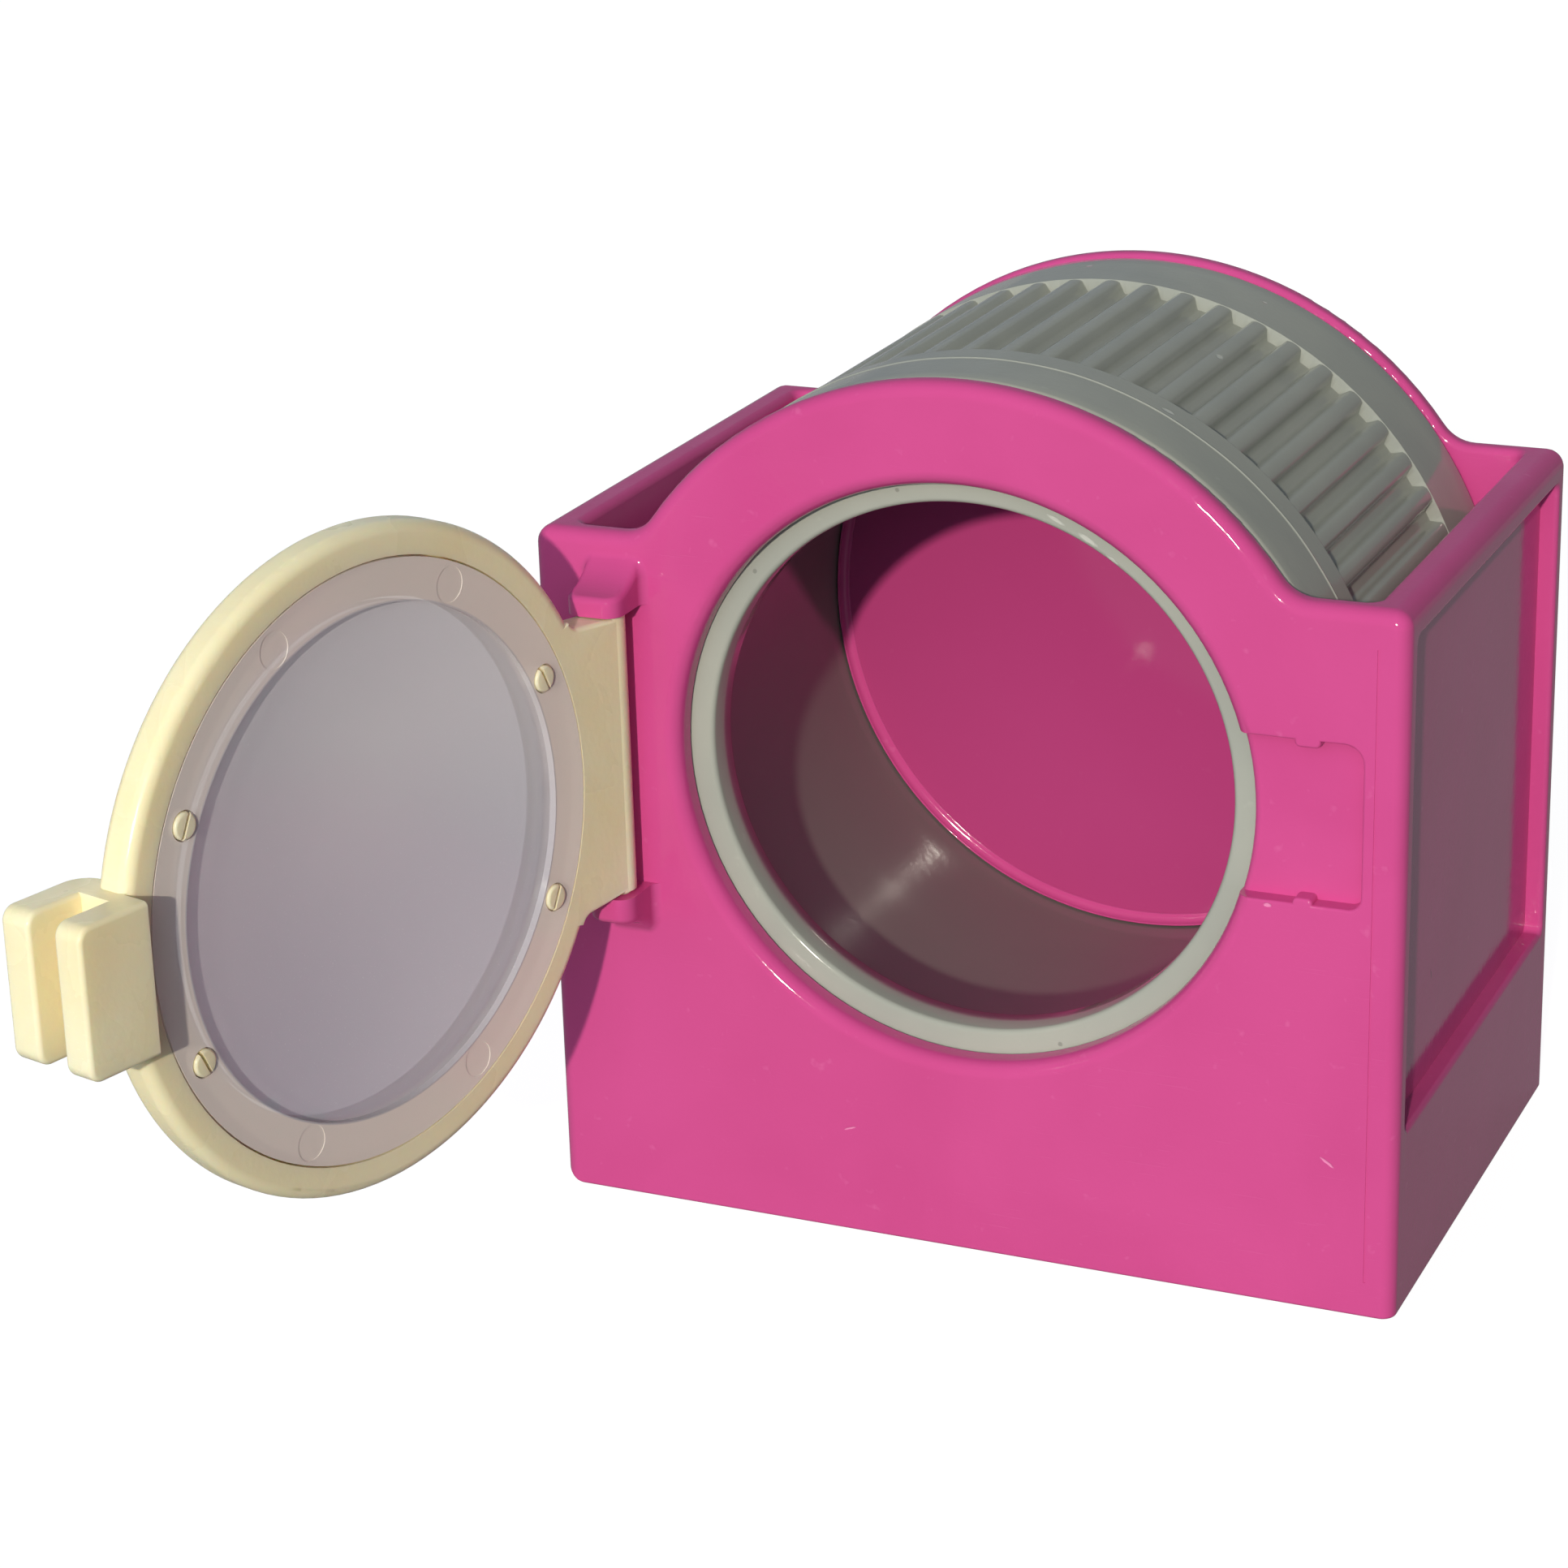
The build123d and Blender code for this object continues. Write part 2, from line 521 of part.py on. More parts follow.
def make_door_window():
    flange = along_y(WIN_R, DOOR_Y - WIN_T, DOOR_Y)
    floor = DOOR_Y - DISH_SINK
    rim = SIGHT_R - DISH_GAP
    middle = along_y(rim, floor - DISH_T, DOOR_Y - WIN_T / 2) + dish(floor - DISH_T, rim, DISH_RISE)
    window = flange + middle
    window -= along_y(DISH_R, floor, DOOR_Y + 1) + dish(floor + OVERLAP, DISH_R, DISH_RISE)
    for x, z, _ in stakes():
        window -= along_y(STAKE_R + STAKE_GAP, DOOR_Y - 2 * WIN_T, DOOR_Y + 1, x, z)
    for sx in (-1, 1):
        for sz in (-1, 1):
            z = AXIS_Z + sz * MARKS[1]
            window -= along_y(MARK_R, DOOR_Y - MARK_SINK, DOOR_Y + 1, sx * MARKS[0], z)
    return open_door(window)


nodes = {
    "housing": make_housing(),
    "drum": make_drum(),
    "door_frame": make_door_frame(),
    "door_window": make_door_window(),
}

for name, shape in nodes.items():
    export_step(shape, f"parts/{name}.step")
    box = shape.bounding_box()
    print(name, "solids", len(shape.solids()), "volume", round(shape.volume, 1),
          "box", [round(v, 2) for v in (*box.min, *box.max)])
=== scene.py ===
"""Looks of a toy washing machine: pink housing, grey ribbed drum, cream door, smoky window."""

import math

import bpy
import numpy as np
from mathutils import Matrix, Vector


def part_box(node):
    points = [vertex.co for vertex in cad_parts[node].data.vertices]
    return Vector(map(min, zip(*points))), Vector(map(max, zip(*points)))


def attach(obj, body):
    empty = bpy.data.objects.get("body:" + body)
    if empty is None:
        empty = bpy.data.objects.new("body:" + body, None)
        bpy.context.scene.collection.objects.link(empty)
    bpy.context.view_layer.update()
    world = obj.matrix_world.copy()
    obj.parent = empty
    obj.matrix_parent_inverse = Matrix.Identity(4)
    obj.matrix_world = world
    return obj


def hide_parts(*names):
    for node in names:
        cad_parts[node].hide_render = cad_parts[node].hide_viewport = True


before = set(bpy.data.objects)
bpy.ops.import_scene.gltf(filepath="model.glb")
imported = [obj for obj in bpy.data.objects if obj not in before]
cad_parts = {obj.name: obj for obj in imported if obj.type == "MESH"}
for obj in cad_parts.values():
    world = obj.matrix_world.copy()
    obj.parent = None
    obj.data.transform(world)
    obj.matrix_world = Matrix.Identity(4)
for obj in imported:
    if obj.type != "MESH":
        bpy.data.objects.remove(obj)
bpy.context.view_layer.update()  # frame["bodies"], ["nodes"], ["joints"], ["record"]

MM = 0.001

# ------------------------------------------------------------ places from the frame
DRUM_LOW, DRUM_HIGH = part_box("drum")
HOUSING_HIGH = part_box("housing")[1]
AXIS_Z = (DRUM_LOW.z + DRUM_HIGH.z) / 2

# ------------------------------------------------------------ drum, all in metres
SEAM_RISE = 0.05 * MM               # moulding seam, the widest part of the drum
DRUM_R = DRUM_HIGH.x - SEAM_RISE
DRUM_WALL = 2.05 * MM
CAVITY_R = DRUM_R - DRUM_WALL
CAVITY_FRONT_R = 17.3 * MM          # the cavity narrows toward the mouth
CAVITY_STRAIGHT = 2.0 * MM          # and is straight round the hub
MOUTH_R = 14.5 * MM
MOUTH_T = 2.2 * MM
MOUTH_EDGE = 0.3 * MM
FLANGE_EDGE = 0.35 * MM
FRONT_FLANGE = 6.05 * MM
BACK_FLANGE = 5.65 * MM
RIBS = 60
RIB_POINTS = 14                     # points round the drum for each rib
RIB_ROWS = 13                       # and along it
RIB_SINK = 0.02 * MM                # ribs lie this far below the flanges
RIB_DEPTH = 0.72 * MM
RIB_TOP = 0.40 * MM                 # half width of a rib before its sides fall
RIB_FOOT = 0.80 * MM                # where a rib's side meets the floor of the groove
RIB_CROWN = 0.05 * MM               # its top rises toward the middle by this much
RIB_END = 0.004 * MM                # length of the step at a groove's end
NEAR_RIB = 0.1 * MM                 # rows this near a groove's end keep its shading crisp
NEAR_EDGE = 0.05 * MM               # and this near the cavity's back edge
SEAM_INSET = 4.2 * MM               # from the drum's front face
SEAM_Y = DRUM_LOW.y + SEAM_INSET
SEAM_W = 0.3 * MM
# how the seam wanders: waves round the drum, size in mm, start in radians
SEAM_WAVES = [(3, 0.05, 1.1), (11, 0.03, 0.0), (29, 0.02, 0.4)]

# ------------------------------------------------------------ hub on the back plate
HUB_DEPTH = 2.6 * MM                # from the back of the housing to the hub's face
HUB_Y = HOUSING_HIGH.y - HUB_DEPTH
HUB_GAP = 0.17 * MM                 # between the hub and the cavity
HUB_R = CAVITY_R - HUB_GAP
RIM_W = 0.55 * MM
RIM_H = 0.4 * MM
RIM_CREST = 0.05 * MM               # width of its flat top
RIM_LAP = 0.1 * MM                  # it stands over the hub's side and sinks into its face
RIM_POINTS = 240                    # points round the hub

# ------------------------------------------------------------ door, in its open place
DOOR_OPEN = 104                     # degrees
DISH_R = 13.2 * MM                  # sunk middle of the window

# ------------------------------------------------------------ colours, as on a screen, 0 to 255
# each plastic has its own colour, a paler one for marks and a darker one for clouds
PINK, PINK_PALE, PINK_DARK = (204, 76, 140), (235, 140, 186), (199, 72, 135)
GREY, GREY_PALE, GREY_DARK = (168, 170, 159), (198, 200, 190), (158, 161, 152)
CREAM, CREAM_PALE, CREAM_DARK = (255, 243, 205), (255, 250, 226), (253, 235, 190)
HUB_PAINTED_SHADE = (174, 60, 117)           # painted shade on the hub's face, deep inside the drum
CAVITY_PAINTED_SHADE = (122, 120, 114)       # painted shade inside the drum
# paler and darker film; their patches are partly smoke in the plastic and partly painted
# reflections
FILM_PALE, FILM_DARK = (222, 217, 221), (181, 180, 194)
FILM_FLANGE = (255, 244, 236)       # where the cream frame shines through
FILM_SCUFF = (215, 210, 214)

# ------------------------------------------------------------ patterns, gloss and grain
# noise: lumps to the metre, detail, distortion
CLOUDS = (90, 3.0, 0.5)
FLECKS = (1100, 2.0, 0.0)
HANDLING = (45, 2.0, 0.0)           # patches that show their scuffs
RAGGED = (3200, 2.0, 0.0)           # edges of the nicks and stains
SMEARS = (130, 4.0, 0.8)            # shinier and duller patches
FINE_GRAIN = (2600, 2.0, 0.0)
WAVES = (230, 1.0, 0.0)
FILM_SMOKE_AND_REFLECTIONS = (26, 1.0, 0.6)
FILM_SMEARS = (140, 4.0, 0.8)
FILM_WAVES = (220, 2.0, 0.0)
# roughness, from the shiniest patches to the dullest
PINK_ROUGH = (0.05, 0.11)
GREY_ROUGH = (0.05, 0.12)
CREAM_ROUGH = (0.2, 0.34)
FILM_ROUGH = (0.06, 0.16)
CAVITY_POLISH = 0.6                 # the cavity's roughness, as a share of the drum's
# specular level
PINK_SPECULAR, GREY_SPECULAR, CREAM_SPECULAR = 0.4, 0.35, 0.35
# strength of the bump, on the housing and the door and in places with another skin
GRAIN = 0.5
HUB_GRAIN = 0.08
DRUM_GRAIN = 0.3
CAVITY_GRAIN = 0.06
FILM_GRAIN = 0.3
GRAIN_HEIGHT = 0.02 * MM
FILM_GRAIN_HEIGHT = 0.03 * MM
# light inside the cream's thin walls: its share, its reach in each colour, its depth
CREAM_GLOW = 0.35
CREAM_GLOW_REACH = (1.0, 0.6, 0.35)
CREAM_GLOW_DEPTH = 2 * MM
WINDOW_ALPHA = 0.70

# ------------------------------------------------------------ wear
# scuffs: turn in radians, width and length in mm, and how rare they are
SCUFFS = [((0.3, 0.7, 0.2), 0.10, 3.0, 0.72), ((0.9, -0.5, 1.1), 0.09, 2.4, 0.73),
          ((-0.6, 1.9, 0.4), 0.08, 2.0, 0.73)]
# marks: middle and half sizes in mm, turn in degrees
PINK_NICKS = [((20.26, -15.9, 8.51), (0.5, 0.3, 0.09), (0, 35, 0)),
              ((16.9, -15.9, 22.3), (0.22, 0.3, 0.12), (0, 0, 0)),
              ((-6.4, -15.9, 6.1), (0.35, 0.3, 0.07), (0, -20, 0))]
PINK_STAINS = [((22.9, -6.33, 15.6), (0.3, 0.14, 0.38), (20, 0, 0))]
GREY_NICKS = [((4.99, -14.2, 40.95), (0.5, 0.3, 0.12), (0, 27, 0)),
              ((6.72, -14.2, 40.05), (0.6, 0.3, 0.14), (0, 30, 0)),
              ((8.02, -14.2, 39.12), (0.4, 0.3, 0.1), (0, 36, 0)),
              ((-2.55, 11.85, 47.7), (0.2, 0.2, 0.2), (0, 0, 0)),
              ((7.76, 11.65, 46.37), (0.15, 0.15, 0.2), (0, 0, 0)),
              ((8.64, 0.93, 46.0), (0.2, 0.3, 0.3), (0, 0, 0)),
              ((9.31, -9.4, 45.68), (0.35, 0.2, 0.3), (0, 0, 0))]
GREY_STAINS = [((-3.6, -14.2, 41.71), (0.13, 0.2, 0.13), (0, 0, 0)),
               ((13.35, -0.96, 43.07), (0.4, 0.5, 0.5), (0, 0, 0)),
               ((-11.75, -14.2, 36.57), (0.15, 0.2, 0.15), (0, 0, 0)),
               ((5.1, -14.2, 12.11), (0.15, 0.2, 0.15), (0, 0, 0))]

# ------------------------------------------------------------ pieces kept from the frame
WELD_GAP = 1e-6                     # metres
CREASE = 40                         # degrees, past which an edge stays sharp

# ------------------------------------------------------------ camera
CAMERA_AT = Vector((72.444, -196.004, 98.349)) * MM
CAMERA_AZIMUTH = 24.512
CAMERA_ELEVATION = 20.194
CAMERA_ROLL = -1.767
CAMERA_SENSOR = 36                  # mm wide
CAMERA_LENS = 91.847                # mm
CAMERA_NEAR, CAMERA_FAR = 0.01, 20  # metres

# ------------------------------------------------------------ light and backdrop
KEY_AZIMUTH = 10.7                  # from the front toward the right
KEY_ELEVATION = 17.6
KEY_LIGHT = 2.35
KEY_ANGLE = 1.5                     # degrees, which sets how soft its shadows are
KEY_COLOUR = (1.05, 0.985, 0.85)
# soft lights: azimuth and elevation, sharpness, level
SOFT_LIGHTS = [(-4, 12, 3, 1.8), (202, 0, 10, 8.0)]
ROOM_LIGHT = 0.02
SKY_TINT = (0.85, 0.945, 1.09, 1)   # colour of the soft light
WHITE = (1, 1, 1, 1)
MIRRORED = 0.2                      # level of the backdrop in reflections
FLOOR_HALF = 3.0                    # half of its width, in metres
FLOOR_LIFT = 0.94                   # brightness that the floor has by itself
FLOOR_SHADE = 0.15                  # and the light it gives back, which the shadow takes away


# ------------------------------------------------------------ node helpers
def put(tree, kind, sockets=None, **settings):
    """Add a shader node; each socket gets a value, or a link where an output is given."""
    node = tree.nodes.new("ShaderNode" + kind)
    for key, value in settings.items():
        setattr(node, key, value)
    for key, value in (sockets or {}).items():
        socket = node.inputs[key]
        if isinstance(value, bpy.types.NodeSocket):
            tree.links.new(value, socket)
        else:
            socket.default_value = value
    return node


def linear(red, green, blue):
    """Scene colour of a colour given as it shows on a screen, by the usual screen curve."""
    shares = np.array([red, green, blue]) / 255
    low = shares / 12.92
    high = ((shares + 0.055) / 1.055) ** 2.4
    return (*np.where(shares <= 0.04045, low, high).tolist(), 1.0)


def noise(tree, coords, scale, detail, distortion):
    """Soft noise about 0.5; the scale counts its lumps to the unit, a metre on the object."""
    made = put(tree, "TexNoise", {"Vector": coords, "Scale": scale, "Detail": detail,
                                  "Distortion": distortion})
    return made.outputs["Fac"]


def ramp(tree, value, low, high, to_low=0.0, to_high=1.0):
    """Value carried from one range to another and held inside it."""
    made = put(tree, "MapRange", {"Value": value, "From Min": low, "From Max": high,
                                  "To Min": to_low, "To Max": to_high})
    return made.outputs["Result"]


def maths(tree, operation, a, b):
    """Result of one operation on two values."""
    return put(tree, "Math", {0: a, 1: b}, operation=operation).outputs[0]


def length(tree, vector):
    """Length of a vector."""
    made = put(tree, "VectorMath", {0: vector}, operation="LENGTH")
    return made.outputs["Value"]


def blend(tree, share, a, b):
    """Mix of two colours."""
    return put(tree, "Mix", {0: share, 6: a, 7: b}, data_type="RGBA").outputs[2]


def laid_over(tree, base, mask, colour, share):
    """Base colour with another over it where the mask is 1, as strong as the share says."""
    return blend(tree, maths(tree, "MULTIPLY", mask, share), base, colour)


def new_material(name):
    """A material with its node tree and its shader."""
    material = bpy.data.materials.new(name)
    material.use_nodes = True
    tree = material.node_tree
    return material, tree, tree.nodes["Principled BSDF"]


# ------------------------------------------------------------ wear and places as masks
def scuffs(tree, coords):
    """Sparse hairline scuffs: noise stretched along each direction, only its crests kept."""
    marks = 0.0
    for turn, width, reach, rarity in SCUFFS:
        scale = (1 / (reach * MM), 1 / (width * MM), 1 / (width * MM))
        laid = put(tree, "Mapping", {"Vector": coords, "Rotation": turn, "Scale": scale})
        crests = noise(tree, laid.outputs[0], scale=1.0, detail=1.0, distortion=0.0)
        crests = ramp(tree, crests, rarity, rarity + 0.05)
        marks = maths(tree, "MAXIMUM", crests, marks)
    return marks


def spots(tree, coords, marks):
    """1 inside small ragged marks, each given as middle, half sizes in mm and turn in degrees."""
    total = 0.0
    ragged = maths(tree, "MULTIPLY", noise(tree, coords, *RAGGED), 0.9)
    for middle, half, turn in marks:
        laid = put(tree, "Mapping", {"Vector": coords, "Location": [v * MM for v in middle],
                                     "Rotation": [math.radians(v) for v in turn],
                                     "Scale": [v * MM for v in half]}, vector_type="TEXTURE")
        away = maths(tree, "ADD", length(tree, laid.outputs[0]), ragged)
        total = maths(tree, "MAXIMUM", ramp(tree, away, 1.1, 1.5, 1.0, 0.0), total)
    return total


def within(tree, front, back, radius):
    """1 inside a round stretch about the drum's axis, from one y to another."""
    soft_side, soft_end = 0.08 * MM, 0.05 * MM
    coords = put(tree, "TexCoord").outputs["Object"]
    x, y, z = put(tree, "SeparateXYZ", {0: coords}).outputs
    across = put(tree, "CombineXYZ", {0: x, 1: maths(tree, "SUBTRACT", z, AXIS_Z)})
    near_axis = ramp(tree, length(tree, across.outputs[0]), radius, radius + soft_side, 1.0, 0.0)
    past_front = ramp(tree, y, front - soft_end, front)
    before_back = ramp(tree, y, back, back + soft_end, 1.0, 0.0)
    return maths(tree, "MULTIPLY", maths(tree, "MULTIPLY", near_axis, past_front), before_back)


# ------------------------------------------------------------ finishes
def moulded_plastic(name, colour, pale, dark, roughness, specular, nicks=(), stains=()):
    """Moulded plastic: cloudy colour, handling marks in its gloss, hairline scuffs, fine grain.

    Roughness is the lowest and the highest. Nicks are pale and pressed in, stains are dark."""
    material, tree, shader = new_material(name)
    colour, pale, dark = linear(*colour), linear(*pale), linear(*dark)
    soiled = (*(0.4 * value for value in dark[:3]), 1.0)
    coords = put(tree, "TexCoord").outputs["Object"]
    clouds = ramp(tree, noise(tree, coords, *CLOUDS), 0.35, 0.65)
    flecks = ramp(tree, noise(tree, coords, *FLECKS), 0.70, 0.8)
    handled = ramp(tree, noise(tree, coords, *HANDLING), 0.45, 0.62)
    marks = maths(tree, "MULTIPLY", scuffs(tree, coords), handled)
    nicked = spots(tree, coords, nicks)
    stained = spots(tree, coords, stains)

    base = blend(tree, clouds, dark, colour)
    base = laid_over(tree, base, flecks, pale, share=0.15)
    base = laid_over(tree, base, marks, pale, share=0.06)
    base = laid_over(tree, base, nicked, pale, share=0.8)
    base = laid_over(tree, base, stained, soiled, share=0.5)
    tree.links.new(base, shader.inputs["Base Color"])

    rough = ramp(tree, noise(tree, coords, *SMEARS), 0.3, 0.7, *roughness)
    rough = maths(tree, "ADD", rough, maths(tree, "MULTIPLY", marks, 0.12))
    tree.links.new(rough, shader.inputs["Roughness"])
    shader.inputs["Specular IOR Level"].default_value = specular

    waves = maths(tree, "MULTIPLY", noise(tree, coords, *WAVES), 1.5)
    height = maths(tree, "ADD", noise(tree, coords, *FINE_GRAIN), waves)
    height = maths(tree, "SUBTRACT", height, maths(tree, "MULTIPLY", marks, 0.3))
    height = maths(tree, "SUBTRACT", height, maths(tree, "MULTIPLY", nicked, 4.0))
    bump = put(tree, "Bump", {"Height": height, "Strength": GRAIN, "Distance": GRAIN_HEIGHT})
    tree.links.new(bump.outputs[0], shader.inputs["Normal"])
    return material


def paint_shade_and_smooth(tree, inside, colour, share, grain, smoother):
    """Give a finished plastic painted shade, a darker colour, and a smoother skin where the mask is
    1.
    """
    base = tree.nodes["Principled BSDF"].inputs["Base Color"]
    # painted shade: the masked place is blended toward the given darker colour
    tree.links.new(laid_over(tree, base.links[0].from_socket, inside, linear(*colour), share), base)
    strength = ramp(tree, inside, 0.0, 1.0, grain, smoother)
    tree.links.new(strength, tree.nodes["Bump"].inputs["Strength"])


def pink_plastic():
    """Pink of the housing; the face of the hub has painted shade and a smoother skin."""
    material = moulded_plastic("pink_plastic", PINK, PINK_PALE, PINK_DARK, PINK_ROUGH,
                               PINK_SPECULAR, PINK_NICKS, PINK_STAINS)
    tree = material.node_tree
    before, behind = 0.2 * MM, 0.1 * MM
    face = within(tree, HUB_Y - before, HUB_Y + behind, HUB_R - RIM_W)
    # painted shade: the hub's face is darkened where little light reaches it
    paint_shade_and_smooth(tree, face, HUB_PAINTED_SHADE, 0.8, GRAIN, HUB_GRAIN)
    return material


def grey_plastic():
    """Grey of the drum; its cavity has painted shade, a higher gloss and a smoother skin."""
    material = moulded_plastic("grey_plastic", GREY, GREY_PALE, GREY_DARK, GREY_ROUGH,
                               GREY_SPECULAR, GREY_NICKS, GREY_STAINS)
    tree = material.node_tree
    margin = 0.02 * MM
    cavity = within(tree, DRUM_LOW.y + MOUTH_T, DRUM_HIGH.y, CAVITY_R + margin)
    # painted shade: the cavity is darkened where little light reaches inside the drum
    paint_shade_and_smooth(tree, cavity, CAVITY_PAINTED_SHADE, 0.85, DRUM_GRAIN, CAVITY_GRAIN)
    rough = tree.nodes["Principled BSDF"].inputs["Roughness"]
    polish = ramp(tree, cavity, 0.0, 1.0, 1.0, CAVITY_POLISH)
    tree.links.new(maths(tree, "MULTIPLY", rough.links[0].from_socket, polish), rough)
    return material


def cream_plastic():
    """Cream of the door, which lets some light through its thin walls."""
    material = moulded_plastic("cream_plastic", CREAM, CREAM_PALE, CREAM_DARK, CREAM_ROUGH,
                               CREAM_SPECULAR)
    shader = material.node_tree.nodes["Principled BSDF"]
    shader.inputs["Subsurface Weight"].default_value = CREAM_GLOW
    shader.inputs["Subsurface Radius"].default_value = CREAM_GLOW_REACH
    shader.inputs["Subsurface Scale"].default_value = CREAM_GLOW_DEPTH
    return material


def smoky_window():
    """Clear plastic gone smoky: part of the light passes, the rest meets a scuffed lilac film whose
    pale and dark patches are partly smoke and partly painted reflections.

    Its flange lies on the cream frame, which shines through and makes it warmer and paler."""
    material, tree, shader = new_material("smoky_window")
    coords = put(tree, "TexCoord").outputs["Object"]
    low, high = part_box("door_window")
    turn = math.radians(DOOR_OPEN)
    axis = (math.sin(turn), math.cos(turn), 0)
    offset = put(tree, "VectorMath", {0: coords, 1: (low + high) / 2}, operation="SUBTRACT")
    across = put(tree, "VectorMath", {0: offset.outputs[0], 1: axis}, operation="CROSS_PRODUCT")
    radius = length(tree, across.outputs[0])
    flange = ramp(tree, radius, DISH_R + 0.03 * MM, DISH_R + 0.12 * MM)
    # pale and dark patches: partly smoke, partly painted reflections
    clouds = ramp(tree, noise(tree, coords, *FILM_SMOKE_AND_REFLECTIONS), 0.35, 0.65)
    marks = scuffs(tree, coords)

    film = blend(tree, clouds, linear(*FILM_PALE), linear(*FILM_DARK))
    film = blend(tree, flange, film, linear(*FILM_FLANGE))
    film = laid_over(tree, film, marks, linear(*FILM_SCUFF), share=0.3)
    tree.links.new(film, shader.inputs["Base Color"])
    shader.inputs["Alpha"].default_value = WINDOW_ALPHA

    rough = ramp(tree, noise(tree, coords, *FILM_SMEARS), 0.3, 0.7, *FILM_ROUGH)
    rough = maths(tree, "ADD", rough, maths(tree, "MULTIPLY", marks, 0.2))
    tree.links.new(rough, shader.inputs["Roughness"])

    bump = put(tree, "Bump", {"Height": noise(tree, coords, *FILM_WAVES),
                              "Strength": FILM_GRAIN, "Distance": FILM_GRAIN_HEIGHT})
    tree.links.new(bump.outputs[0], shader.inputs["Normal"])
    return material


# ------------------------------------------------------------ meshes
def surface(name, points, material):
    """Closed mesh from a grid of points that runs round in both directions."""
    rows, columns = points.shape[:2]
    index = np.arange(rows * columns).reshape(rows, columns)
    down, right = np.roll(index, -1, 0), np.roll(index, -1, 1)
    opposite = np.roll(down, -1, 1)
    quads = np.stack([index, down, opposite, right], -1).reshape(-1, 4)
    mesh = bpy.data.meshes.new(name)
    mesh.vertices.add(rows * columns)
    mesh.vertices.foreach_set("co", points.reshape(-1).astype(np.float32))
    mesh.loops.add(quads.size)
    mesh.loops.foreach_set("vertex_index", quads.reshape(-1).astype(np.int32))
    mesh.polygons.add(len(quads))
    mesh.polygons.foreach_set("loop_start", np.arange(0, quads.size, 4, dtype=np.int32))
    mesh.polygons.foreach_set("use_smooth", np.ones(len(quads), bool))
    mesh.update(calc_edges=True)
    mesh.validate()
    mesh.materials.append(material)
    piece = bpy.data.objects.new(name, mesh)
    bpy.context.scene.collection.objects.link(piece)
    return piece


def round_axis(section, turn, radius, wander=0.0):
    """Grid of points round the drum's axis.

    x and z are the radius times the cosine and the sine of the turn, and y is the
    section's own, with its wander."""
    along = np.broadcast_to(section[:, :1], radius.shape)
    return np.stack([radius * np.cos(turn), along + wander, AXIS_Z + radius * np.sin(turn)], -1)


def arc(centre, radius, start, end, count=5):
    """Arc about a centre in y, r, from one angle to another in degrees."""
    turn = np.radians(np.linspace(start, end, count))
    return np.stack([centre[0] + radius * np.cos(turn), centre[1] + radius * np.sin(turn)], 1)


def steps(start, end, count):
    """Points on a line between two, without its ends."""
    share = np.linspace(0, 1, count + 2)[1:-1, None]
    return np.array(start) * (1 - share) + np.array(end) * share


def drum_profile():
    """Section of the drum in y, r: mouth, front face, bands, back edge and cavity.

    Straight stretches and arcs, once round; also how far each point sinks into the
    grooves, from 0 on the bands to 1 on the ribbed stretch."""
    y0, y1 = DRUM_LOW.y, DRUM_HIGH.y
    b0, b1 = y0 + FRONT_FLANGE, y1 - BACK_FLANGE
    m, e = MOUTH_EDGE, FLANGE_EDGE
    wall = y0 + MOUTH_T
    straight = y1 - CAVITY_STRAIGHT
    plain_front = np.concatenate([
        [(wall, MOUTH_R)], steps((wall, MOUTH_R), (y0 + m, MOUTH_R), 1),
        arc((y0 + m, MOUTH_R + m), m, 270, 180),
        steps((y0, MOUTH_R + m), (y0, DRUM_R - e), 3),
        arc((y0 + e, DRUM_R - e), e, 180, 90),
        steps((y0 + e, DRUM_R), (SEAM_Y - SEAM_W, DRUM_R), 3),
        [(SEAM_Y - SEAM_W, DRUM_R), (SEAM_Y - 0.6 * SEAM_W, DRUM_R)],
        arc((SEAM_Y, DRUM_R), SEAM_RISE, 180, 0),
        [(SEAM_Y + 0.6 * SEAM_W, DRUM_R), (SEAM_Y + SEAM_W, DRUM_R)],
        [(b0 - 2 * NEAR_RIB, DRUM_R), (b0 - RIB_END, DRUM_R)]])
    ribbed_y = np.concatenate([[b0, b0 + RIB_END],
                               np.linspace(b0 + NEAR_RIB, b1 - NEAR_RIB, RIB_ROWS),
                               [b1 - RIB_END, b1]])
    ribbed = np.stack([ribbed_y, np.full(len(ribbed_y), DRUM_R)], 1)
    back = np.concatenate([
        [(b1 + RIB_END, DRUM_R)], steps((b1, DRUM_R), (y1 - e, DRUM_R), 3),
        arc((y1 - e, DRUM_R - e), e, 90, 0),
        [(y1, CAVITY_R + NEAR_EDGE), (y1, CAVITY_R), (y1 - NEAR_EDGE, CAVITY_R)],
        [(straight, CAVITY_R)], steps((straight, CAVITY_R), (wall, CAVITY_FRONT_R), 12),
        [(wall, CAVITY_FRONT_R)], steps((wall, CAVITY_FRONT_R), (wall, MOUTH_R), 3)])
    section = np.concatenate([plain_front, ribbed, back])
    sink = np.concatenate([[0], np.ones(len(ribbed_y) - 2), [0]])
    groove = np.concatenate([np.zeros(len(plain_front)), sink, np.zeros(len(back))])
    return section, groove


